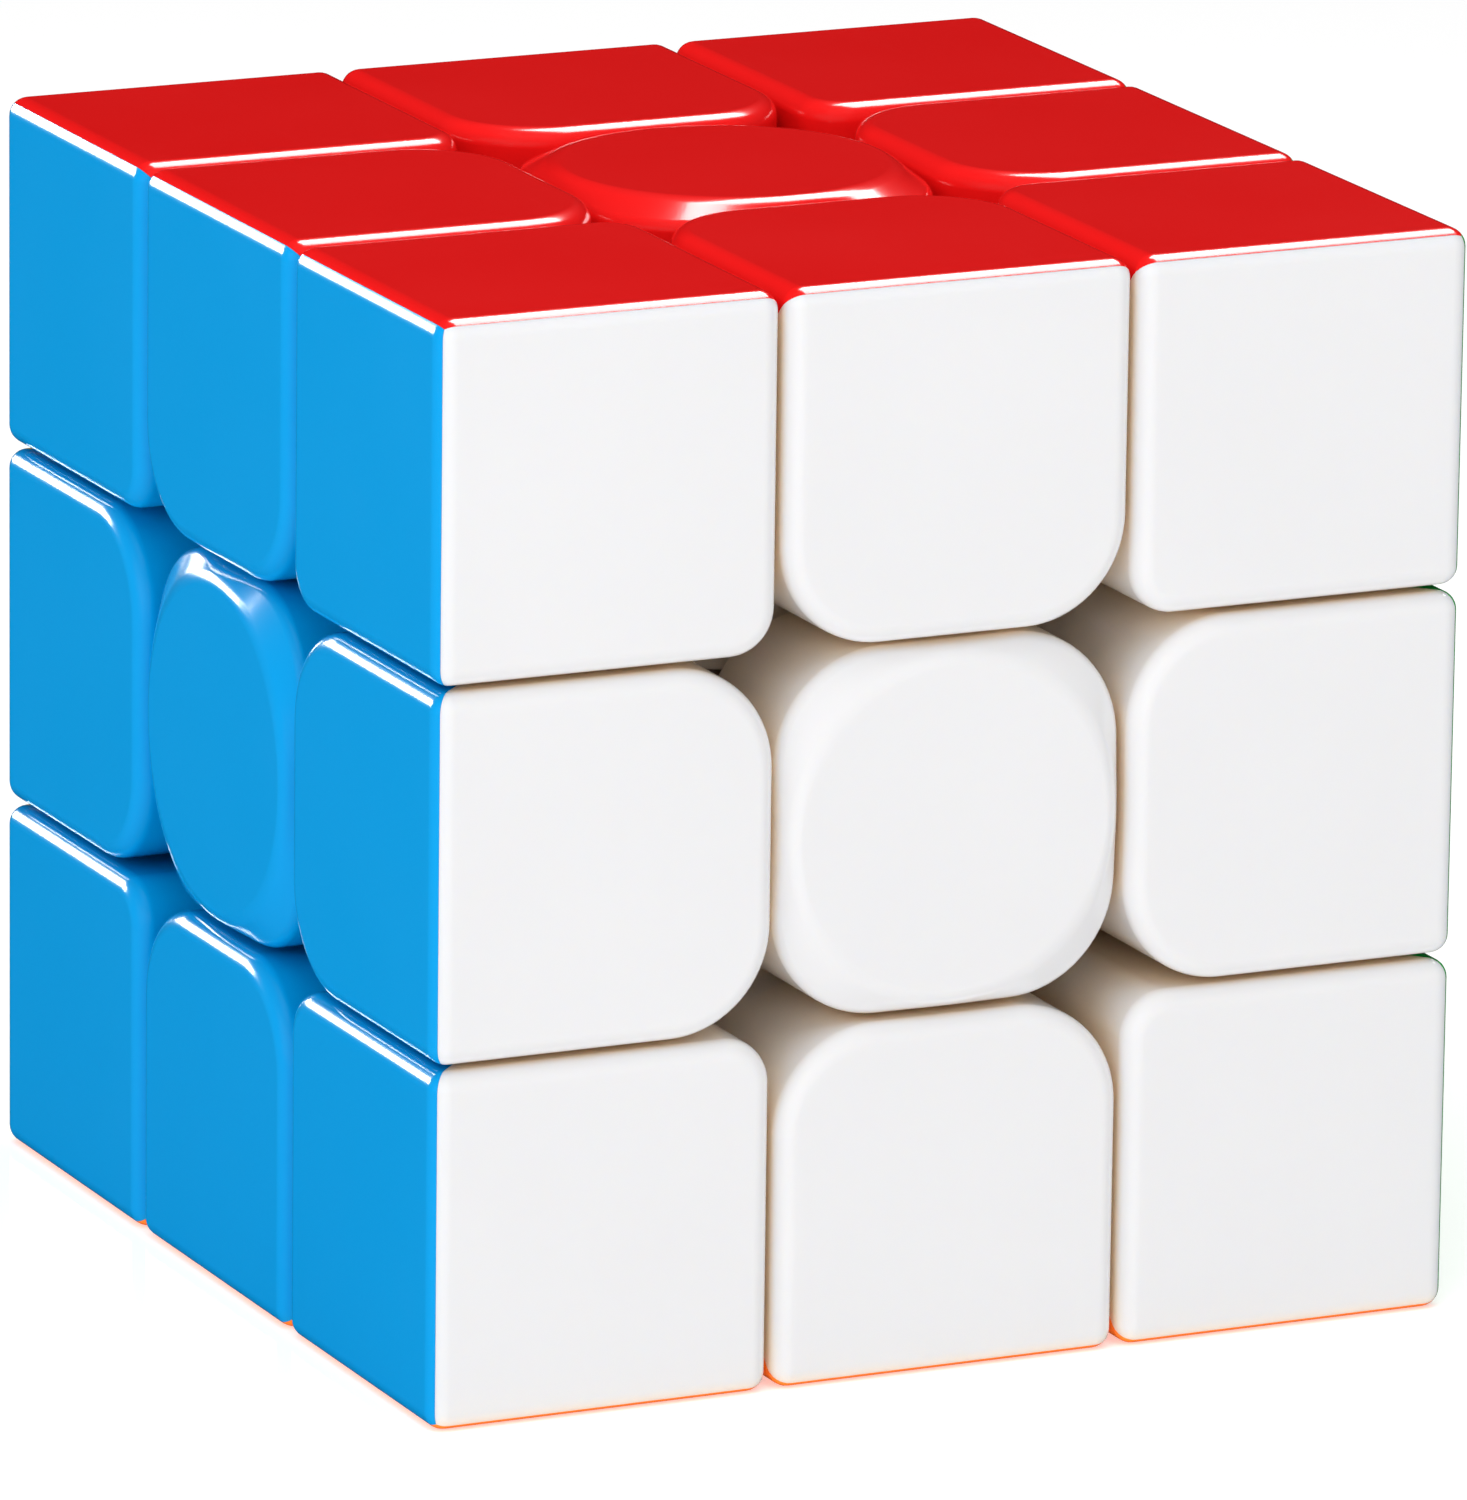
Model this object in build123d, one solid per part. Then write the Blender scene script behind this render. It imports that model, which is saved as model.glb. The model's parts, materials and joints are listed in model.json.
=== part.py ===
from build123d import *
import os

# Twisty puzzle cube: 26 coloured pieces that slide round a hidden core, three layers along each axis.
# Millimetres. The origin is the centre of the core, where the six turning axes meet.
# Up is +Z, down -Z, front -Y, back +Y, right +X, left -X.

# Whole cube
CUBE = 56.0
HALF = CUBE / 2
MIDDLE_LAYER = 19.1  # a little thicker than the two outer layers
LAYER = MIDDLE_LAYER / 2  # from the centre to the plane between two layers
GAP = 0.3  # between the flanks of neighbouring pieces
RIM = 1.0  # rounding round every coloured face
WALL = 1.5  # of the moulded shells
SEAM = 0.04  # where two shells of one piece meet
SEAT = 0.05  # between a shell and its foot, and between a cap and its stalk

OUTER_LOW = LAYER + GAP / 2  # where a turning layer's shells begin
MIDDLE_HALF = LAYER - GAP / 2  # half the width of the pieces between two layers

# Sliding mechanism: inside the foot ball the layers part nearer the centre, so the feet hook
# under their neighbours, which rest a little further out
INNER_CUT = 6.0
INNER_LOW = INNER_CUT + GAP / 2
CHANNEL_HALF = INNER_CUT - GAP / 2
FOOT_RADIUS = 19.35  # ball that all the feet turn in
EDGE_UNDERSIDE = 18.7  # radius of the edges' hollow, round the edge's own axis
CENTRE_UNDERSIDE = 18.65  # height of the centre caps' lower rims
CORNER_FOOT_INSIDE = 12.6
EDGE_FOOT_INSIDE = 12.0

# Outlines of the coloured faces
CORNER_INNER_ROUND = 2.4
EDGE_INNER_ROUND = 5.4
CENTRE_ROUND = 5.8
CENTRE_FACE_RADIUS = 8.8  # the centre's flat face is a disc, and the cap's corners slope away from it
CENTRE_SHOULDER = 2.8
CENTRE_RIM = 0.9

# Centre caps and stalks
CAP_THICKNESS = 1.8
CAP_WALL = 1.4
SOCKET_WALL = 1.0
STALK_HALF = CHANNEL_HALF - SEAT
STALK_ROUND = 4.4
STALK_BOTTOM = 9.6
STALK_TOP = 25.7
STALK_FLOOR = 1.8
STALK_BORE = 3.8

# Core, screws, springs and washers
HUB_RADIUS = 6.4
ARM_RADIUS = 3.6
ARM_TOP = 9.3
SCREW_HOLE = 1.25
SCREW_HOLE_BOTTOM = 3.0
SCREW_TIP = 3.5
THREAD_RADIUS = 1.2
SHANK_RADIUS = 1.55
SHANK_HOLE = 1.62
HEAD_BOTTOM = 19.45
HEAD_RADIUS = 3.2
HEAD_HEIGHT = 2.0
HEAD_ROUND = 0.6
SLOT_WIDTH = 0.8
SLOT_LENGTH = 3.6
SLOT_DEPTH = 1.1
WASHER_HOLE = 1.7
WASHER_RADIUS = 3.3
WASHER_THICKNESS = 0.55
WIRE_RADIUS = 0.28
COIL_RADIUS = 2.45
COIL_PITCH = 1.25

BIG = 4 * HALF  # reaches past everything
CLOSE = 1e-3  # places nearer than this are the same

# Each face: the way it looks and its colour
FACES = {
    "up": (Vector(0, 0, 1), "red"),
    "down": (Vector(0, 0, -1), "orange"),
    "front": (Vector(0, -1, 0), "white"),
    "back": (Vector(0, 1, 0), "yellow"),
    "right": (Vector(1, 0, 0), "green"),
    "left": (Vector(-1, 0, 0), "blue"),
}
UP_DOWN = ("up", "down")
FRONT_BACK = ("front", "back")
SIDES = ("right", "left")


def beyond(normal, offset):
    """Everything further along normal than offset, as a large block."""
    normal = Vector(*normal).normalized()
    plane = Plane(origin=normal * offset, z_dir=normal)
    return plane.location * Box(BIG, BIG, BIG, align=(Align.CENTER, Align.CENTER, Align.MIN))


def between(x, y, z):
    """A block between two values along each axis."""
    low, high = zip(x, y, z)
    size = [b - a for a, b in zip(low, high)]
    return Pos(*low) * Box(*size, align=(Align.MIN, Align.MIN, Align.MIN))


def post(direction, radius, bottom, top):
    """A round post along a direction from the centre."""
    direction = Vector(*direction).normalized()
    plane = Plane(origin=direction * bottom, z_dir=direction)
    return plane.location * Cylinder(
        radius, top - bottom, align=(Align.CENTER, Align.CENTER, Align.MIN)
    )


def rounded_square(half_width, radius, bottom, top):
    """An upright block with a square outline and rounded corners."""
    outline = RectangleRounded(2 * half_width, 2 * half_width, radius)
    return Pos(0, 0, bottom) * extrude(outline, top - bottom)


def rim_edges(block, outside):
    """The edges that lie wholly in an outer face, at the distance outside along X, Y or Z."""
    def on_rim(edge):
        low = edge.bounding_box().min
        return max(low.X, low.Y, low.Z) > outside - CLOSE

    return block.edges().filter_by(on_rim)


# Corner pieces, drawn where X, Y and Z are all positive

def corner_block(low, high):
    """The whole outside of a corner piece."""
    block = between((low, high), (low, high), (low, high))
    inner = block.edges().filter_by(lambda e: sorted(tuple(e.center()))[1] < low + CLOSE)
    block = fillet(inner, CORNER_INNER_ROUND)
    return fillet(rim_edges(block, high), RIM)


def corner_share(piece):
    """The third of a corner piece that has the upward colour."""
    share = piece & beyond((-1, 0, 1), SEAM / 2) & beyond((0, -1, 1), SEAM / 2)
    return share.solid()


def corner_shell():
    """The shell that carries the corner's upward colour, mitred to the two other shells."""
    inside = (OUTER_LOW + WALL, HALF - WALL)
    shell = corner_block(OUTER_LOW, HALF) - between(inside, inside, inside)
    return corner_share(shell - Sphere(FOOT_RADIUS + SEAT))


def corner_foot():
    """The shell's third of the foot, which hooks under the neighbouring edges."""
    reach = (INNER_LOW, HALF)
    foot = between(reach, reach, reach) & Sphere(FOOT_RADIUS)
    return corner_share(foot - Sphere(CORNER_FOOT_INSIDE))


# Edge pieces, drawn where Y and Z are positive, centred on X

def edge_block(half_width, low, high, inner_round):
    """The outside of an edge piece: a tongue outline seen from above and from its second face."""
    depth = high - low
    outline = Pos(0, low + depth / 2) * Rectangle(2 * half_width, depth)
    outline = fillet(outline.vertices().sort_by(Axis.Y)[:2], inner_round)
    seen_from_above = Pos(0, 0, low) * extrude(outline, depth)
    seen_from_behind = seen_from_above.rotate(Axis((0, 0, 0), (0, 1, 1)), 180)
    return seen_from_above & seen_from_behind


def edge_hollow(radius):
    """A cylinder round the edge piece's own axis, which the foot ball turns inside."""
    return Rot(0, 90, 0) * Cylinder(radius, BIG)


def edge_share(piece):
    """The half of an edge piece that has the upward colour."""
    return (piece & beyond((0, -1, 1), SEAM / 2)).solid()


def edge_shell():
    """The shell that carries the edge's upward colour, mitred to the other shell."""
    block = edge_block(MIDDLE_HALF, OUTER_LOW, HALF, EDGE_INNER_ROUND)
    block = fillet(rim_edges(block, HALF), RIM)
    cavity = edge_block(
        MIDDLE_HALF - WALL, OUTER_LOW + WALL, HALF - WALL, EDGE_INNER_ROUND - WALL
    )
    cavity -= edge_hollow(EDGE_UNDERSIDE + WALL)
    return edge_share(block - cavity - edge_hollow(EDGE_UNDERSIDE))


def edge_foot():
    """The shell's half of the foot, which hooks under a neighbouring centre cap."""
    width = (-CHANNEL_HALF, CHANNEL_HALF)
    foot = between(width, (INNER_LOW, HALF), (INNER_LOW, HALF)) & Sphere(FOOT_RADIUS)
    foot -= Sphere(EDGE_FOOT_INSIDE)
    under_shell = (OUTER_LOW - SEAT, HALF)
    seat = between((-HALF, HALF), under_shell, under_shell)
    return edge_share(foot - (seat - edge_hollow(EDGE_UNDERSIDE - SEAT)))


# Centre pieces, drawn on +Z

def on_shoulder(edge):
    """True of the edges where a cap's sloping shoulder meets its flanks."""
    height = edge.bounding_box()
    return height.min.Z > HALF - CENTRE_SHOULDER and height.max.Z < HALF - CLOSE


def centre_cap():
    """The coloured cap: an outer wall and a socket that grips the stalk."""
    dome = post((0, 0, 1), CENTRE_FACE_RADIUS + CENTRE_SHOULDER, 0, HALF)
    dome = fillet(dome.edges().sort_by(Axis.Z)[-1], CENTRE_SHOULDER)
    cap = dome & rounded_square(MIDDLE_HALF, CENTRE_ROUND, CENTRE_UNDERSIDE, HALF)
    cap = fillet(cap.edges().filter_by(on_shoulder), CENTRE_RIM)
    top = HALF - CAP_THICKNESS
    inside = rounded_square(MIDDLE_HALF - CAP_WALL, CENTRE_ROUND - CAP_WALL, 0, top)
    socket = STALK_HALF + SEAT
    inside -= rounded_square(socket + SOCKET_WALL, STALK_ROUND + SEAT + SOCKET_WALL, 0, top)
    inside += rounded_square(socket, STALK_ROUND + SEAT, 0, top)
    return (cap - inside).solid()


def centre_stalk():
    """The square tube that turns on the screw and holds its spring."""
    stalk = rounded_square(STALK_HALF, STALK_ROUND, STALK_BOTTOM, STALK_TOP)
    stalk -= post((0, 0, 1), SHANK_HOLE, 0, HALF)
    stalk -= post((0, 0, 1), STALK_BORE, STALK_BOTTOM + STALK_FLOOR, HALF)
    return stalk.solid()


# Core and hardware, drawn on +Z

def core():
    """The spider: a round hub with six arms, each bored for a screw."""
    spider = Sphere(HUB_RADIUS)
    for way, _ in FACES.values():
        spider += post(way, ARM_RADIUS, 0, ARM_TOP)
    for way, _ in FACES.values():
        spider -= post(way, SCREW_HOLE, SCREW_HOLE_BOTTOM, HALF)
    return spider.solid()


def screw():
    """A pan-headed screw with a plain shank, which the centre piece turns on."""
    head = post((0, 0, 1), HEAD_RADIUS, HEAD_BOTTOM, HEAD_BOTTOM + HEAD_HEIGHT)
    head = fillet(head.edges().sort_by(Axis.Z)[-1], HEAD_ROUND)
    top = HEAD_BOTTOM + HEAD_HEIGHT
    for turn in (0, 90):
        slot = Box(SLOT_LENGTH, SLOT_WIDTH, 2 * SLOT_DEPTH)
        head -= Pos(0, 0, top) * Rot(0, 0, turn) * slot
    shank = post((0, 0, 1), SHANK_RADIUS, ARM_TOP + SEAT, HEAD_BOTTOM)
    thread = post((0, 0, 1), THREAD_RADIUS, SCREW_TIP, ARM_TOP + SEAT)
    thread = chamfer(thread.edges().sort_by(Axis.Z)[0], THREAD_RADIUS / 2)
    return (head + shank + thread).solid()


def washer():
    """The ring that the spring pushes up against the screw's head."""
    bottom = HEAD_BOTTOM - SEAT - WASHER_THICKNESS
    ring = post((0, 0, 1), WASHER_RADIUS, bottom, bottom + WASHER_THICKNESS)
    return (ring - post((0, 0, 1), WASHER_HOLE, 0, HALF)).solid()


def spring():
    """The open coil that pulls the centre piece towards the core."""
    bottom = STALK_BOTTOM + STALK_FLOOR + SEAT + WIRE_RADIUS
    top = HEAD_BOTTOM - 2 * SEAT - WASHER_THICKNESS - WIRE_RADIUS
    coil = Helix(COIL_PITCH, top - bottom, COIL_RADIUS)
    wire = Plane(origin=coil @ 0, z_dir=coil % 0) * Circle(WIRE_RADIUS)
    return (Pos(0, 0, bottom) * sweep(wire, path=coil)).solid()


# Where the pieces go

def on_face(face):
    """From a piece drawn on +Z to that face."""
    return Plane(origin=(0, 0, 0), z_dir=FACES[face][0]).location


def on_edge(face, other):
    """From an edge piece drawn at +Y +Z to the edge between two faces, its shell on the first."""
    up, behind = FACES[face][0], FACES[other][0]
    return Plane(origin=(0, 0, 0), x_dir=behind.cross(up), z_dir=up).location


def on_corner(face, one, other):
    """From a corner piece drawn at +X +Y +Z to the corner of three faces, its shell on the first."""
    up, side, back = FACES[face][0], FACES[one][0], FACES[other][0]
    if up.cross(side).dot(back) < 0:
        side = back
    return Plane(origin=(0, 0, 0), x_dir=side, z_dir=up).location


def cubies():
    """Every edge and corner piece as the names of its faces."""
    for pair in ((UP_DOWN, FRONT_BACK), (UP_DOWN, SIDES), (FRONT_BACK, SIDES)):
        for one in pair[0]:
            for other in pair[1]:
                yield one, other
    for one in UP_DOWN:
        for middle in FRONT_BACK:
            for other in SIDES:
                yield one, middle, other


def assembly():
    """Every node by name."""
    pieces = {
        2: ("edge", on_edge, (edge_shell(), edge_foot())),
        3: ("corner", on_corner, (corner_shell(), corner_foot())),
    }
    cap, stalk = centre_cap(), centre_stalk()
    nodes = {}
    for face, (_, colour) in FACES.items():
        place = on_face(face)
        nodes[f"centre_{face}_{colour}_cap_and_stalk"] = [place * cap, place * stalk]
    for faces in cubies():
        kind, placing, solids = pieces[len(faces)]
        for face in faces:
            place = placing(face, *[other for other in faces if other != face])
            name = "_".join([kind, *faces, FACES[face][1], "shell"])
            nodes[name] = [place * solid for solid in solids]
    nodes["core"] = [core()]
    for name, piece in (("screws", screw()), ("springs", spring()), ("washers", washer())):
        nodes[name] = [on_face(face) * piece for face in FACES]
    return nodes


os.makedirs("parts", exist_ok=True)
volume = 0.0
for name, solids in assembly().items():
    volume += sum(solid.volume for solid in solids)
    shape = solids[0] if len(solids) == 1 else Compound(children=solids)
    export_step(shape, f"parts/{name}.step")
print("solid volume, cm3:", round(volume / 1000, 1))
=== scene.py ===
import bpy
import json
import math
from mathutils import Matrix, Quaternion, Vector

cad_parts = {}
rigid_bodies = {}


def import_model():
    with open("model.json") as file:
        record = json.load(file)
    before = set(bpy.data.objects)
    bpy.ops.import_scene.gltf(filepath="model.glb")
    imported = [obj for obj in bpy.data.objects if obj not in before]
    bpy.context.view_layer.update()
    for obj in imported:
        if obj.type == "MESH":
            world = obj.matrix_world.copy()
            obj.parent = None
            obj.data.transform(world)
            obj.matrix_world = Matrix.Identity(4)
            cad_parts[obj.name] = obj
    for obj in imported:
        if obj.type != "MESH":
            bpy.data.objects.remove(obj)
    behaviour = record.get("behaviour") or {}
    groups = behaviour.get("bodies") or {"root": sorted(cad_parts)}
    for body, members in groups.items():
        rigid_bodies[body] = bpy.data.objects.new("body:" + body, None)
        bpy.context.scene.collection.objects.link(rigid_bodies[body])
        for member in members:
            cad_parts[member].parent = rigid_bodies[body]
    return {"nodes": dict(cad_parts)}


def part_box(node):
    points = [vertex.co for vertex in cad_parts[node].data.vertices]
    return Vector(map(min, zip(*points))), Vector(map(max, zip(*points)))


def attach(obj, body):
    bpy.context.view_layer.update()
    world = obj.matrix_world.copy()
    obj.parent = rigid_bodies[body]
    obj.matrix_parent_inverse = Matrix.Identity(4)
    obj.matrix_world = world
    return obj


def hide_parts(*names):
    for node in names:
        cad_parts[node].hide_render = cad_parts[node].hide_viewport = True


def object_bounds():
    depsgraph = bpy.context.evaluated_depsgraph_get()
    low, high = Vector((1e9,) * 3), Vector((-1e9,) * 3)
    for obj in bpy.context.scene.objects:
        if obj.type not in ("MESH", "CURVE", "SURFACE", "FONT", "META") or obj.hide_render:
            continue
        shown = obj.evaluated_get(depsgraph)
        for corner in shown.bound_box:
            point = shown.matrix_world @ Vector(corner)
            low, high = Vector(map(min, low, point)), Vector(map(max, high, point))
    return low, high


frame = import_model()
cad_low, cad_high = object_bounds()

MM = 0.001
NODES = frame["nodes"]

# Sizes that the frame settles
HALF = cad_high.z  # half of the cube
MIDDLE_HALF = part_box("centre_up_red_cap_and_stalk")[1].x  # half the width of the pieces in a middle layer
STALK_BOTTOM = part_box("centre_up_red_cap_and_stalk")[0].z
FOOT_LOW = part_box("corner_up_back_right_red_shell")[0].x  # where a corner's foot begins
ARM_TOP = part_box("core")[1].z
HEAD_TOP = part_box("screws")[1].z
WASHER_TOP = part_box("washers")[1].z
SPRING_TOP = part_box("springs")[1].z

# Shells and feet
GAP = 0.3 * MM
RIM = 1.0 * MM  # rounding round every coloured face
WALL = 1.5 * MM
SEAM = 0.01 * MM  # between two shells of one piece
OUTER_LOW = MIDDLE_HALF + GAP
CORNER_INNER_ROUND = 2.4 * MM
EDGE_INNER_ROUND = 5.4 * MM
EDGE_UNDERSIDE = 18.7 * MM
FOOT_RADIUS = 19.35 * MM
FOOT_HALF = 5.85 * MM  # half the width of an edge's foot
FOOT_ROUND = 0.8 * MM
BITE = 0.15 * MM  # how far a shell and its foot run into each other
CORNER_FOOT_INSIDE = 12.6 * MM
EDGE_FOOT_INSIDE = 12.0 * MM

# Centre caps and stalks
CAP_UNDERSIDE = 18.65 * MM
CAP_ROUND = 5.8 * MM
CAP_FACE_RADIUS = 8.75 * MM  # the flat face of a centre cap is a disc
CAP_INSET = 1.1 * MM
CAP_SHOULDER = 1.0 * MM  # how far the cap's corners slope away
CAP_FACE_ROUND = 0.45 * MM
CAP_RIM_ROUND = 0.45 * MM
CAP_THICKNESS = 1.8 * MM
CAP_WALL = 1.4 * MM
STRAIGHT = 2.0 * MM  # edges of a cap longer than this are its straight sides
SOCKET_WALL = 1.0 * MM
STALK_HALF = 5.8 * MM
STALK_ROUND = 4.4 * MM
STALK_TOP = 25.7 * MM
STALK_FLOOR = 1.8 * MM
STALK_BORE = 3.8 * MM
SEAT = 0.05 * MM

# Core and hardware
HUB_RADIUS = 6.4 * MM
ARM_RADIUS = 3.6 * MM
ARM_ROUND = 0.5 * MM
SCREW_HOLE = 1.25 * MM
SCREW_TIP = 3.5 * MM
THREAD_ROOT = 1.2 * MM
THREAD_DEPTH = 0.2 * MM
THREAD_PITCH = 0.8 * MM
SHANK_RADIUS = 1.55 * MM
HEAD_RADIUS = 3.2 * MM
HEAD_HEIGHT = 2.0 * MM
HEAD_ROUND = 0.6 * MM
SLOT_WIDTH = 0.8 * MM
SLOT_LENGTH = 3.6 * MM
SLOT_DEPTH = 1.1 * MM
WASHER_RADIUS = 3.3 * MM
WASHER_HOLE = 1.7 * MM
WASHER_THICKNESS = 0.55 * MM
WASHER_ROUND = 0.12 * MM
WIRE_RADIUS = 0.28 * MM
COIL_RADIUS = 2.45 * MM
COIL_PITCH = 1.25 * MM

# Steps that round an edge
BROAD_STEPS = 18  # the wide inner corners of the edge pieces
CAP_STEPS = 16
FINE_STEPS = 12
RIM_STEPS = 8
SMALL_STEPS = 6  # feet and screw heads
HIDDEN_STEPS = 4
CAP_CUTS = 11  # on each straight side of a cap, before it is drawn into a disc
CAP_EDGE_STEPS = 5
WASHER_STEPS = 3

# Corners of round outlines, and steps to a turn of a coil
DRUM_VERTICES = 96
HOLE_VERTICES = 48
BORE_VERTICES = 32
WIRE_VERTICES = 12
THREAD_VERTICES = 3
COIL_STEPS = 40
THREAD_STEPS = 24

BIG = 3 * HALF
CLOSE = 0.01 * MM  # places nearer than this are the same

# Each face: the way it looks and its colour
FACES = {
    "up": (Vector((0, 0, 1)), "red"),
    "down": (Vector((0, 0, -1)), "orange"),
    "front": (Vector((0, -1, 0)), "white"),
    "back": (Vector((0, 1, 0)), "yellow"),
    "right": (Vector((1, 0, 0)), "green"),
    "left": (Vector((-1, 0, 0)), "blue"),
}

# Plastic colours, as linear red, green and blue
PLASTICS = {
    "red": (0.84, 0.008, 0.008),
    "orange": (1.0, 0.23, 0.03),
    "white": (0.735, 0.732, 0.742),
    "yellow": (0.92, 0.66, 0.01),
    "green": (0.01, 0.38, 0.06),
    "blue": (0.0, 0.31, 0.70),
}
# How much light a plastic lets through, and the warm colour painted as shade where it lies close to other
# pieces
MILKY_AND_GAP_SHADE = {"white": (0.2, (1.0, 0.80, 0.58))}
GAP_SHADE_REACH = 6.0 * MM  # how far away a neighbour still adds painted warm shade
GAP_SHADE_SAMPLES = 6


# Workshop: starting, shaping and joining pieces

def settled():
    """The piece just added, with its place moved into its mesh."""
    bpy.ops.object.transform_apply(location=True, rotation=True, scale=True)
    return bpy.context.object


def block(x, y, z):
    """A block between two values along each axis."""
    low, high = Vector((x[0], y[0], z[0])), Vector((x[1], y[1], z[1]))
    bpy.ops.mesh.primitive_cube_add(size=1, location=(low + high) / 2, scale=high - low)
    return settled()


def post(radius, bottom, top, axis="Z", vertices=64):
    """A round post along an axis."""
    turn = {"X": (0, math.pi / 2, 0), "Y": (-math.pi / 2, 0, 0), "Z": (0, 0, 0)}[axis]
    place = [(bottom + top) / 2 if name == axis else 0 for name in "XYZ"]
    bpy.ops.mesh.primitive_cylinder_add(
        vertices=vertices, radius=radius, depth=top - bottom, location=place, rotation=turn
    )
    return settled()


def ball(radius, segments=96):
    bpy.ops.mesh.primitive_uv_sphere_add(segments=segments, ring_count=segments // 2, radius=radius)
    return settled()


def pick(piece, kind, wanted):
    """Goes into edit mode with only the wanted edges or faces selected."""
    bpy.ops.object.select_all(action="DESELECT")
    piece.select_set(True)
    bpy.context.view_layer.objects.active = piece
    bpy.ops.object.mode_set(mode="EDIT")
    bpy.ops.mesh.select_mode(type=kind)
    bpy.ops.mesh.select_all(action="DESELECT")
    bpy.ops.object.mode_set(mode="OBJECT")
    mesh = piece.data
    for part in mesh.edges if kind == "EDGE" else mesh.polygons:
        part.select = wanted([mesh.vertices[i].co for i in part.vertices])
    bpy.ops.object.mode_set(mode="EDIT")


def release():
    bpy.ops.object.mode_set(mode="OBJECT")


def round_edges(piece, wanted, radius, segments):
    """Rounds the edges that wanted picks by the places of their ends."""
    pick(piece, "EDGE", wanted)
    bpy.ops.mesh.bevel(offset=radius, segments=segments, affect="EDGES")
    release()


def apply_modifier(piece, kind, **settings):
    modifier = piece.modifiers.new(kind.lower(), kind)
    for name, value in settings.items():
        setattr(modifier, name, value)
    bpy.context.view_layer.objects.active = piece
    bpy.ops.object.modifier_apply(modifier=modifier.name)


def combine(piece, operation, *tools):
    """Cuts, trims or joins a piece with others, which are used up."""
    for tool in tools:
        apply_modifier(piece, "BOOLEAN", operation=operation, object=tool, solver="EXACT")
        bpy.data.objects.remove(tool)
    return piece


def smoothed(piece, angle=32):
    """Closes a finished mesh up and smooths its rounded stretches, with the flats kept flat."""
    pick(piece, "FACE", lambda places: True)
    bpy.ops.mesh.remove_doubles(threshold=CLOSE / 10)
    bpy.ops.mesh.normals_make_consistent(inside=False)
    release()
    bpy.ops.object.shade_smooth_by_angle(angle=math.radians(angle))
    apply_modifier(piece, "WEIGHTED_NORMAL", keep_sharp=True, weight=80)
    return piece


def same(place, **fixed):
    """Whether a place has the given X, Y or Z."""
    return all(abs(getattr(place, axis) - value) < CLOSE for axis, value in fixed.items())


def on_outer_face(*axes):
    """Picks the edges that lie in an outer face of the cube."""
    return lambda ends: any(all(same(end, **{axis: HALF}) for end in ends) for axis in axes)


def rounded_post(half_width, radius, bottom, top, segments=FINE_STEPS):
    """An upright block with a square outline and rounded corners."""
    piece = block((-half_width, half_width), (-half_width, half_width), (bottom, top))
    round_edges(piece, lambda ends: abs(ends[0].z - ends[1].z) > CLOSE, radius, segments)
    return piece


# Corner and edge pieces, made where X, Y and Z are positive, with their own colour upwards

def share():
    """The wedge that the upward colour fills, out to the mitres with the faces beside it."""
    bpy.ops.mesh.primitive_cone_add(
        vertices=4, radius1=0, radius2=BIG * math.sqrt(2), depth=BIG,
        location=(0, 0, BIG / 2 + SEAM), rotation=(0, 0, math.pi / 4),
    )
    return settled()


def meets_inner_corner(low):
    """Picks the three edges that meet at a corner piece's inmost point."""
    def wanted(ends):
        shared = [axis for axis in "xyz" if all(same(end, **{axis: low}) for end in ends)]
        return len(shared) == 2

    return wanted


def inner_uprights(half_width, low):
    """Picks the two upright edges of an edge piece that look at the centre piece."""
    def wanted(ends):
        upright = abs(ends[0].z - ends[1].z) > CLOSE
        return upright and all(same(end, y=low) and abs(abs(end.x) - half_width) < CLOSE for end in ends)

    return wanted


def corner_shell():
    """One colour of a corner piece: a hollow shell, moulded with its third of the foot."""
    reach = (OUTER_LOW, HALF)
    shell = block(reach, reach, reach)
    round_edges(shell, meets_inner_corner(OUTER_LOW), CORNER_INNER_ROUND, FINE_STEPS)
    round_edges(shell, on_outer_face("x", "y", "z"), RIM, RIM_STEPS)
    inside = (OUTER_LOW + WALL, HALF - WALL)
    combine(shell, "DIFFERENCE", block(inside, inside, inside), ball(FOOT_RADIUS - BITE))
    reach = (FOOT_LOW, HALF)
    foot = block(reach, reach, reach)
    round_edges(foot, meets_inner_corner(FOOT_LOW), FOOT_ROUND, SMALL_STEPS)
    combine(foot, "INTERSECT", ball(FOOT_RADIUS))
    combine(foot, "DIFFERENCE", ball(CORNER_FOOT_INSIDE))
    combine(shell, "UNION", foot)
    combine(shell, "INTERSECT", share())
    return smoothed(shell)


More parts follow.
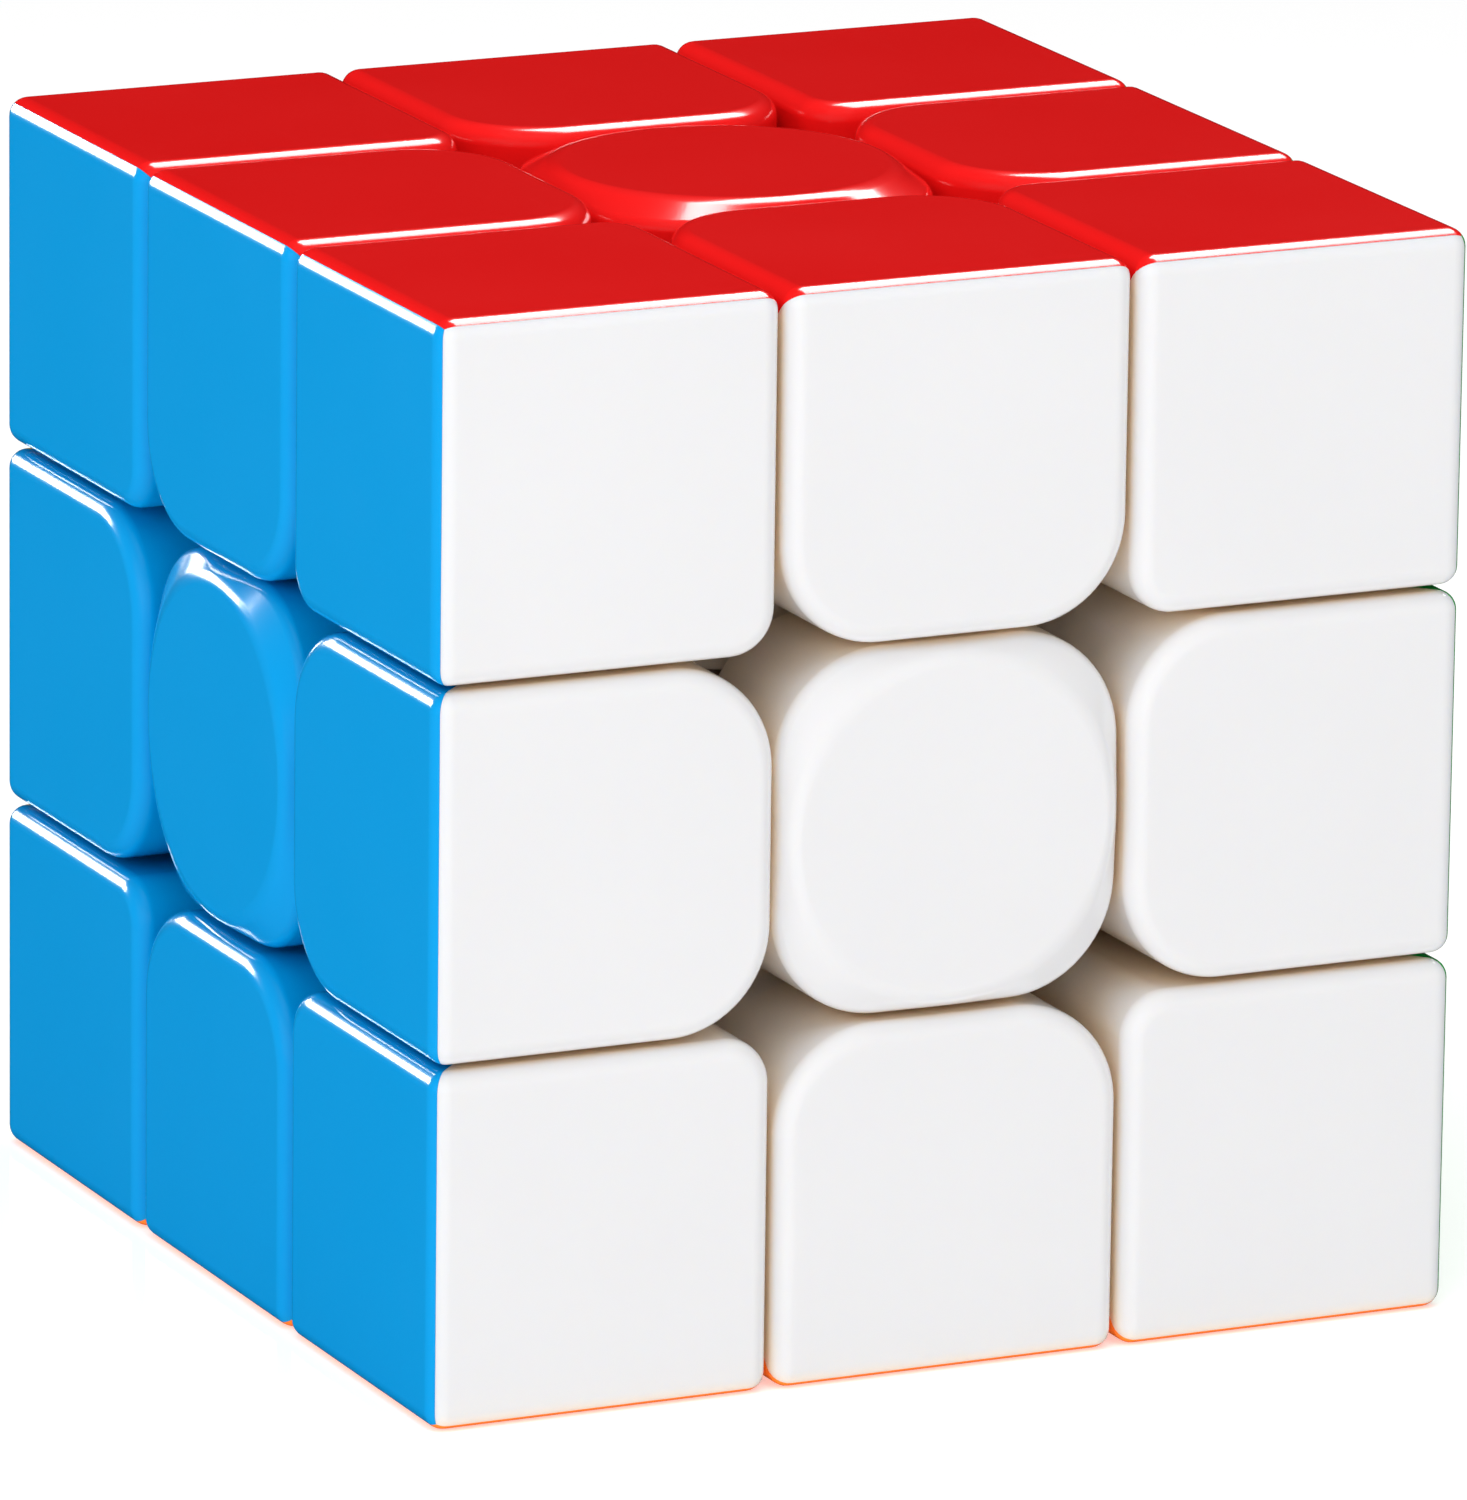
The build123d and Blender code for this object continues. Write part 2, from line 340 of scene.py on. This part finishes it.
def edge_shell():
    """One colour of an edge piece: a hollow tongue, moulded with its half of the foot."""
    width, reach = (-MIDDLE_HALF, MIDDLE_HALF), (OUTER_LOW, HALF)
    shell = block(width, reach, reach)
    round_edges(shell, inner_uprights(MIDDLE_HALF, OUTER_LOW), EDGE_INNER_ROUND, BROAD_STEPS)
    round_edges(shell, on_outer_face("y", "z"), RIM, RIM_STEPS)
    half_inside, low_inside = MIDDLE_HALF - WALL, OUTER_LOW + WALL
    inside = (low_inside, HALF - WALL)
    cavity = block((-half_inside, half_inside), inside, inside)
    round_edges(cavity, inner_uprights(half_inside, low_inside), EDGE_INNER_ROUND - WALL, RIM_STEPS)
    combine(cavity, "DIFFERENCE", post(EDGE_UNDERSIDE + WALL, -HALF, HALF, "X", DRUM_VERTICES))
    combine(shell, "DIFFERENCE", cavity, post(EDGE_UNDERSIDE, -HALF, HALF, "X", DRUM_VERTICES))
    foot = block((-FOOT_HALF, FOOT_HALF), (FOOT_LOW, HALF), (FOOT_LOW, HALF))
    round_edges(foot, inner_uprights(FOOT_HALF, FOOT_LOW), FOOT_ROUND, SMALL_STEPS)
    combine(foot, "INTERSECT", ball(FOOT_RADIUS))
    combine(foot, "DIFFERENCE", ball(EDGE_FOOT_INSIDE))
    combine(shell, "UNION", foot)
    combine(shell, "INTERSECT", share())
    return smoothed(shell)


# Centre pieces, made on +Z

def ring(height, low_radius):
    """Picks the level edges at a height that lie outside a radius."""
    return lambda ends: all(same(end, z=height) and end.to_2d().length > low_radius for end in ends)


def centre_cap():
    """A coloured cap: a round flat face whose shoulders slope out to a rounded square."""
    cap = rounded_post(MIDDLE_HALF, CAP_ROUND, CAP_UNDERSIDE, HALF, CAP_STEPS)
    pick(cap, "EDGE", lambda ends: ends[0].z == ends[1].z and (ends[0] - ends[1]).length > STRAIGHT)
    bpy.ops.mesh.subdivide(number_cuts=CAP_CUTS)
    release()
    pick(cap, "FACE", lambda corners: all(same(corner, z=HALF) for corner in corners))
    bpy.ops.mesh.inset(thickness=CAP_INSET)
    bpy.ops.transform.tosphere(value=1)
    release()
    disc = min(v.co.to_2d().length for v in cap.data.vertices)
    shrink = CAP_FACE_RADIUS / disc
    pick(cap, "FACE", lambda corners: all(corner.to_2d().length < disc + CLOSE for corner in corners))
    bpy.ops.transform.resize(value=(shrink, shrink, 1))
    release()
    pick(cap, "EDGE", ring(HALF, CAP_FACE_RADIUS + CAP_FACE_ROUND))
    bpy.ops.transform.translate(value=(0, 0, -CAP_SHOULDER))
    release()
    round_edges(cap, ring(HALF, 0), CAP_FACE_ROUND, CAP_EDGE_STEPS)
    round_edges(cap, ring(HALF - CAP_SHOULDER, MIDDLE_HALF - CLOSE), CAP_RIM_ROUND, CAP_EDGE_STEPS)
    under = HALF - CAP_THICKNESS
    cavity = rounded_post(MIDDLE_HALF - CAP_WALL, CAP_ROUND - CAP_WALL, 0, under)
    grip, grip_round = STALK_HALF + SEAT, STALK_ROUND + SEAT
    combine(cavity, "DIFFERENCE", rounded_post(grip + SOCKET_WALL, grip_round + SOCKET_WALL, -HALF, HALF))
    combine(cap, "DIFFERENCE", cavity, rounded_post(grip, grip_round, 0, under))
    return smoothed(cap)


def centre_stalk():
    """The square tube under a cap, which turns on the screw and holds its spring."""
    stalk = rounded_post(STALK_HALF, STALK_ROUND, STALK_BOTTOM, STALK_TOP)
    round_edges(stalk, ring(STALK_BOTTOM, 0), ARM_ROUND, HIDDEN_STEPS)
    combine(
        stalk, "DIFFERENCE",
        post(SHANK_RADIUS + SEAT, 0, HALF), post(STALK_BORE, STALK_BOTTOM + STALK_FLOOR, HALF),
    )
    return smoothed(stalk)


# Core and hardware, the latter made on +Z

def core():
    """The spider: a round hub with six arms, each bored for a screw."""
    spider = ball(HUB_RADIUS, 64)
    for axis in "XYZ":
        arms = post(ARM_RADIUS, -ARM_TOP, ARM_TOP, axis)
        end = axis.lower()
        round_edges(arms, lambda ends: abs(getattr(ends[0] - ends[1], end)) < CLOSE, ARM_ROUND, HIDDEN_STEPS)
        combine(spider, "UNION", arms)
    for axis in "XYZ":
        for near, far in ((SCREW_TIP, HALF), (-HALF, -SCREW_TIP)):
            combine(spider, "DIFFERENCE", post(SCREW_HOLE, near, far, axis, BORE_VERTICES))
    return smoothed(spider)


def helix(radius, section, vertices, pitch, bottom, top, steps):
    """A coil whose section is a small round or three-sided outline."""
    bpy.ops.mesh.primitive_circle_add(
        vertices=vertices, radius=section, location=(radius, 0, bottom), rotation=(math.pi / 2, 0, 0)
    )
    coil = settled()
    turns = round((top - bottom) / pitch)
    apply_modifier(
        coil, "SCREW", axis="Z", screw_offset=(top - bottom) / turns, iterations=turns,
        steps=steps, render_steps=steps, use_smooth_shade=False,
    )
    pick(coil, "EDGE", lambda ends: False)
    bpy.ops.mesh.select_non_manifold()
    bpy.ops.mesh.fill_holes(sides=0)
    bpy.ops.mesh.select_all(action="SELECT")
    bpy.ops.mesh.normals_make_consistent(inside=False)
    release()
    return coil


def screw():
    """A pan-headed screw with a cross slot, a plain shank and a coarse thread."""
    head_bottom = HEAD_TOP - HEAD_HEIGHT
    head = post(HEAD_RADIUS, head_bottom, HEAD_TOP)
    round_edges(head, ring(HEAD_TOP, 0), HEAD_ROUND, SMALL_STEPS)
    slots = (-SLOT_LENGTH / 2, SLOT_LENGTH / 2), (-SLOT_WIDTH / 2, SLOT_WIDTH / 2)
    for x, y in (slots, slots[::-1]):
        combine(head, "DIFFERENCE", block(x, y, (HEAD_TOP - SLOT_DEPTH, HALF)))
    combine(head, "UNION", post(SHANK_RADIUS, ARM_TOP + SEAT, head_bottom + SEAT, vertices=BORE_VERTICES))
    root = post(THREAD_ROOT, SCREW_TIP, ARM_TOP + 2 * SEAT, vertices=BORE_VERTICES)
    round_edges(root, ring(SCREW_TIP, 0), THREAD_ROOT / 2, 1)
    thread = helix(
        THREAD_ROOT, THREAD_DEPTH, THREAD_VERTICES, THREAD_PITCH,
        SCREW_TIP + THREAD_ROOT, ARM_TOP - THREAD_DEPTH, THREAD_STEPS,
    )
    combine(root, "UNION", thread)
    combine(head, "UNION", root)
    return smoothed(head)


def washer():
    """The ring that the spring pushes up against the screw's head."""
    ring_piece = post(WASHER_RADIUS, WASHER_TOP - WASHER_THICKNESS, WASHER_TOP)
    combine(ring_piece, "DIFFERENCE", post(WASHER_HOLE, 0, HALF, vertices=HOLE_VERTICES))
    round_edges(ring_piece, ring(WASHER_TOP, WASHER_RADIUS - CLOSE), WASHER_ROUND, WASHER_STEPS)
    return smoothed(ring_piece)


def spring():
    """The open coil that pulls a centre piece towards the core."""
    bottom = STALK_BOTTOM + STALK_FLOOR + SEAT + WIRE_RADIUS
    coil = helix(
        COIL_RADIUS, WIRE_RADIUS, WIRE_VERTICES, COIL_PITCH, bottom, SPRING_TOP - WIRE_RADIUS, COIL_STEPS
    )
    return smoothed(coil, 60)


# Materials

class Value:
    """A shader socket that can be used in sums."""

    def __init__(self, tree, socket):
        self.tree = tree
        self.socket = socket

    def _math(self, operation, first, second):
        node = self.tree.nodes.new("ShaderNodeMath")
        node.operation = operation
        for slot, value in zip(node.inputs, (first, second)):
            if isinstance(value, Value):
                self.tree.links.new(value.socket, slot)
            else:
                slot.default_value = value
        return Value(self.tree, node.outputs[0])

    def __add__(self, other):
        return self._math("ADD", self, other)

    def __radd__(self, other):
        return self._math("ADD", other, self)

    def __mul__(self, other):
        return self._math("MULTIPLY", self, other)

    def __rmul__(self, other):
        return self._math("MULTIPLY", other, self)


class Finish:
    """A material under construction, round one Principled shader."""

    def __init__(self, name):
        self.material = bpy.data.materials.new(name)
        self.material.use_nodes = True
        self.tree = self.material.node_tree
        self.shader = self.tree.nodes["Principled BSDF"]
        self.place = self.node("ShaderNodeTexCoord")["Object"]

    def node(self, kind, settings=None, **values):
        """Adds a node, sets it up, fills its inputs and returns its outputs by name."""
        node = self.tree.nodes.new(kind)
        for name, value in (settings or {}).items():
            if name == "stops":
                ramp = node.color_ramp.elements
                for stop, (position, shade) in zip(ramp, value):
                    stop.position = position
                    stop.color = (shade, shade, shade, 1)
            else:
                setattr(node, name, value)
        for name, value in values.items():
            self.fill(node.inputs[name], value)
        return {out.name: Value(self.tree, out) for out in node.outputs if out.enabled}

    def fill(self, slot, value):
        if isinstance(value, Value):
            self.tree.links.new(value.socket, slot)
        else:
            slot.default_value = value

    def set(self, **values):
        """Sets or links sockets of the shader."""
        for name, value in values.items():
            self.fill(self.shader.inputs[name.replace("_", " ")], value)

    def noise(self, scale, detail=2.0, place=None):
        return self.node("ShaderNodeTexNoise", Vector=place or self.place, Scale=scale, Detail=detail)["Fac"]

    def stretched(self, turn, squeeze):
        """The surface's place, turned and squeezed, for marks that run in one direction."""
        return self.node(
            "ShaderNodeMapping", {"vector_type": "POINT"}, Vector=self.place, Rotation=turn, Scale=squeeze
        )["Vector"]

    def ramp(self, value, low, high):
        """Nothing below low and all of it above high."""
        stops = {"stops": ((low, 0.0), (high, 1.0))}
        return self.node("ShaderNodeValToRGB", stops, Fac=value)["Color"]

    def mixed(self, first, second, factor):
        """From one colour, or link, to another."""
        first, second = (
            colour if isinstance(colour, Value) else (*colour, 1) for colour in (first, second)
        )
        return self.node("ShaderNodeMix", {"data_type": "RGBA"}, A=first, B=second, Factor=factor)["Result"]

    def bump(self, height, strength, distance):
        return self.node("ShaderNodeBump", Strength=strength, Distance=distance, Height=height)["Normal"]


def scuffs(finish):
    """Hair-fine rub marks in three directions, from 0 to 1."""
    patches = finish.ramp(finish.noise(120.0, 1.0), 0.52, 0.66)
    marks = 0.0
    for turn in ((0.3, 0.5, 0.1), (1.1, -0.4, 0.8), (-0.6, 0.2, 1.9)):
        lines = finish.noise(1.0, 1.0, finish.stretched(turn, (9000, 160, 160)))
        marks = marks + finish.ramp(lines, 0.70, 0.78) * patches
    return marks


def gloss_plastic(name, colour, glow=0.0, gap_shade=None):
    """Polished moulded plastic: an even colour that drifts a little, a faint ripple and rub marks.

    With glow some light passes through it. With a gap colour, its base colour is painted towards that colour
    between close pieces: painted warm shade in the gaps."""
    finish = Finish(name)
    cloud = finish.noise(70.0, 3.0)
    marks = scuffs(finish)
    ripple = finish.noise(240.0, 2.0) + 0.15 * finish.noise(2200.0, 1.0)
    shade = finish.mixed([0.965 * part for part in colour], colour, cloud)
    # Painted shade: near other pieces (ambient occlusion) the base colour turns towards a warm tan that
    # stands in for the light between them.
    if gap_shade:
        nearby = {"samples": GAP_SHADE_SAMPLES}
        openness = finish.node("ShaderNodeAmbientOcclusion", nearby, Distance=GAP_SHADE_REACH)["AO"]
        shade = finish.mixed(gap_shade, shade, finish.ramp(openness, 0.04, 0.48))
    finish.set(
        Base_Color=shade,
        Roughness=0.15 + 0.06 * cloud + 0.05 * marks,
        Coat_Weight=0.2,
        Coat_Roughness=0.04,
        IOR=1.49,
        Subsurface_Weight=glow,
        Subsurface_Radius=(1.0, 0.7, 0.4),
        Subsurface_Scale=1.5 * MM,
        Normal=finish.bump(ripple, 0.03, 0.1 * MM),
    )
    return finish.material


def mould_plastic():
    """The core's dull plastic, straight from a spark-finished mould."""
    finish = Finish("core plastic")
    grain = finish.noise(3500.0, 3.0)
    cloud = finish.noise(160.0, 3.0)
    finish.set(
        Base_Color=finish.mixed((0.70, 0.70, 0.68), (0.80, 0.80, 0.78), cloud),
        Roughness=0.42 + 0.16 * grain,
        IOR=1.49,
        Normal=finish.bump(grain, 0.25, 0.04 * MM),
    )
    return finish.material


def turned_steel():
    """Bright steel with the fine marks of turning and drawing."""
    finish = Finish("steel")
    grain = finish.noise(1.0, 2.0, finish.stretched((0, 0, 0), (900, 900, 9000)))
    stain = finish.noise(420.0, 3.0)
    finish.set(
        Base_Color=finish.mixed((0.50, 0.49, 0.47), (0.66, 0.66, 0.66), stain),
        Metallic=1.0,
        Roughness=0.24 + 0.18 * grain,
        Normal=finish.bump(grain, 0.15, 0.02 * MM),
    )
    return finish.material


def paint(piece, material):
    piece.data.materials.clear()
    piece.data.materials.append(material)


# Placing the pieces

def turned(up, behind):
    """The turn that carries +Z to up and +Y to behind."""
    return Matrix((behind.cross(up), behind, up)).transposed().to_4x4()


def beside(up):
    """A direction square to up."""
    return Vector((up.y, up.z, up.x))


def copied(pattern, name, turn, material, body, node):
    """A copy of a pattern piece in its place, standing for a frame node and riding on its body."""
    piece = bpy.data.objects.new(name, pattern.data.copy())
    piece.data.name = name
    piece.data.transform(turn)
    bpy.data.collections["pieces"].objects.link(piece)
    paint(piece, material)
    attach(piece, body)
    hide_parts(node)


def place_shells(patterns, plastics):
    """Every colour of every corner and edge piece."""
    for node in NODES:
        words = node.split("_")
        if words[0] not in patterns:
            continue
        *body, colour, _ = words
        up = next(FACES[face][0] for face in body[1:] if FACES[face][1] == colour)
        ways = [FACES[face][0] for face in body[1:] if FACES[face][1] != colour]
        behind = ways[0]
        if len(ways) == 2 and behind.cross(up).dot(ways[1]) < 0:
            behind = ways[1]
        body = "_".join(body)
        copied(
            patterns[words[0]], f"{colour}_shell_of_{body}", turned(up, behind),
            plastics[colour], body, node,
        )


def place_centres(cap, stalk, plastics):
    """The cap and stalk of each face."""
    for face, (up, colour) in FACES.items():
        node = f"centre_{face}_{colour}_cap_and_stalk"
        turn = turned(up, beside(up))
        for part, pattern in (("cap", cap), ("stalk", stalk)):
            copied(
                pattern, f"{colour}_{part}_of_centre_{face}", turn,
                plastics[colour], f"centre_{face}", node,
            )


def place_hardware(patterns, steel):
    """A screw, a spring and a washer along each arm of the core."""
    for face, (up, _) in FACES.items():
        for kind, pattern in patterns.items():
            copied(pattern, f"{kind}_{face}", turned(up, beside(up)), steel, "core", kind + "s")


# Floor, lights and camera

# Name, direction, distance, size and power of each light, and the colours that show it
SOFT_LIGHTS = (
    ("low side light", (-0.85, -0.38, 0.22), 0.6, (0.5, 0.5), 1.3),
    ("overhead light", (-0.1, -0.3, 0.95), 0.6, (0.6, 0.6), 2.15),
    ("fill light", (-0.408, -0.877, 0.255), 0.6, (0.35, 0.35), 0.5),
)
HIDDEN_COLOURS = ("orange", "yellow", "green")
GLEAMS = (
    (
        "front edge gleam", (0.405, 0.27, 0.872), 0.6, (0.34, 0.34), 6.0,
        ("red", "white", *HIDDEN_COLOURS),
    ),
    ("side edge gleam", (-0.427, 0.877, 0.221), 0.6, (0.3, 0.14), 3.6, ("blue", *HIDDEN_COLOURS)),
    ("back gleam", (0.7, 0.5, 0.6), 0.6, (0.2, 0.2), 1.6, ("blue", *HIDDEN_COLOURS)),
)
LOW_GLOW = ("low front glow", (-0.35, -1.0, -0.03), 0.4, (0.3, 0.02), 0.9, ("orange",))


def floor():
    """A plain white sheet, wide enough to have no edge in view."""
    bpy.ops.mesh.primitive_plane_add(size=6, location=(0, 0, cad_low.z))
    ground = settled()
    ground.name = "floor"
    ground.visible_glossy = False
    finish = Finish("white floor")
    finish.set(
        Base_Color=(0.9, 0.9, 0.9, 1), Roughness=0.08, IOR=1.35,
        Emission_Color=(1, 1, 1, 1), Emission_Strength=0.4,
    )
    paint(ground, finish.material)


def softbox(name, way, distance, size, power, colours=None, gleam=True):
    """A rectangular light aimed at the cube: soft light, or a gleam or glow on some colours only."""
    data = bpy.data.lights.new(name, "AREA")
    data.shape = "RECTANGLE"
    data.size, data.size_y = size
    data.energy = power
    light = bpy.data.objects.new(name, data)
    place = Vector(way).normalized() * distance
    light.location = place
    light.rotation_mode = "QUATERNION"
    light.rotation_quaternion = (-place).to_track_quat("-Z", "Y")
    light.visible_camera = False
    light.visible_diffuse = not (colours and gleam)
    light.visible_glossy = bool(colours and gleam)
    if colours:
        lit = bpy.data.collections.new(name)
        for piece in bpy.data.collections["pieces"].objects:
            if piece.name.split("_")[0] in colours:
                lit.objects.link(piece)
        light.light_linking.receiver_collection = lit
    bpy.context.scene.collection.objects.link(light)


def surroundings(strength):
    """Even soft light from all round, which leaves no reflections."""
    world = bpy.data.worlds.new("studio")
    world.use_nodes = True
    background = world.node_tree.nodes["Background"]
    background.inputs["Color"].default_value = (1, 1, 1, 1)
    background.inputs["Strength"].default_value = strength
    world.cycles_visibility.glossy = False
    bpy.context.scene.world = world


def camera(azimuth, elevation, roll, distance, lens, aim):
    """A long lens that looks down at the cube's front left corner."""
    turn, lift = math.radians(azimuth), math.radians(elevation)
    back = Vector((
        math.sin(turn) * math.cos(lift), -math.cos(turn) * math.cos(lift), math.sin(lift)
    ))
    right = Vector((0, 0, 1)).cross(back).normalized()
    up = back.cross(right)
    data = bpy.data.cameras.new("camera")
    data.lens = lens
    data.clip_start, data.clip_end = 0.01, 10
    eye = bpy.data.objects.new("camera", data)
    eye.location = right * aim[0] + up * aim[1] + back * distance
    eye.rotation_mode = "QUATERNION"
    eye.rotation_quaternion = Quaternion(back, math.radians(roll)) @ (-back).to_track_quat("-Z", "Y")
    bpy.context.scene.collection.objects.link(eye)
    bpy.context.scene.camera = eye


bpy.ops.object.select_all(action="DESELECT")
bpy.context.scene.collection.children.link(bpy.data.collections.new("pieces"))
plastics = {
    name: gloss_plastic(name + " plastic", colour, *MILKY_AND_GAP_SHADE.get(name, ()))
    for name, colour in PLASTICS.items()
}
shells = {"corner": corner_shell(), "edge": edge_shell()}
caps = centre_cap(), centre_stalk()
hardware = {"screw": screw(), "spring": spring(), "washer": washer()}
place_shells(shells, plastics)
place_centres(*caps, plastics)
place_hardware(hardware, turned_steel())
spider = core()
copied(spider, "six_armed_core", Matrix.Identity(4), mould_plastic(), "core", "core")
for pattern in (*shells.values(), *caps, *hardware.values(), spider):
    bpy.data.objects.remove(pattern)

floor()
surroundings(strength=0.66)
for light in SOFT_LIGHTS:
    softbox(*light)
for light in GLEAMS:
    softbox(*light)
softbox(*LOW_GLOW, gleam=False)
camera(
    azimuth=-24.97, elevation=14.76, roll=0.735, distance=0.7346, lens=345.3, aim=(0.000813, -0.002719)
)
bpy.context.scene.view_settings.view_transform = "Standard"
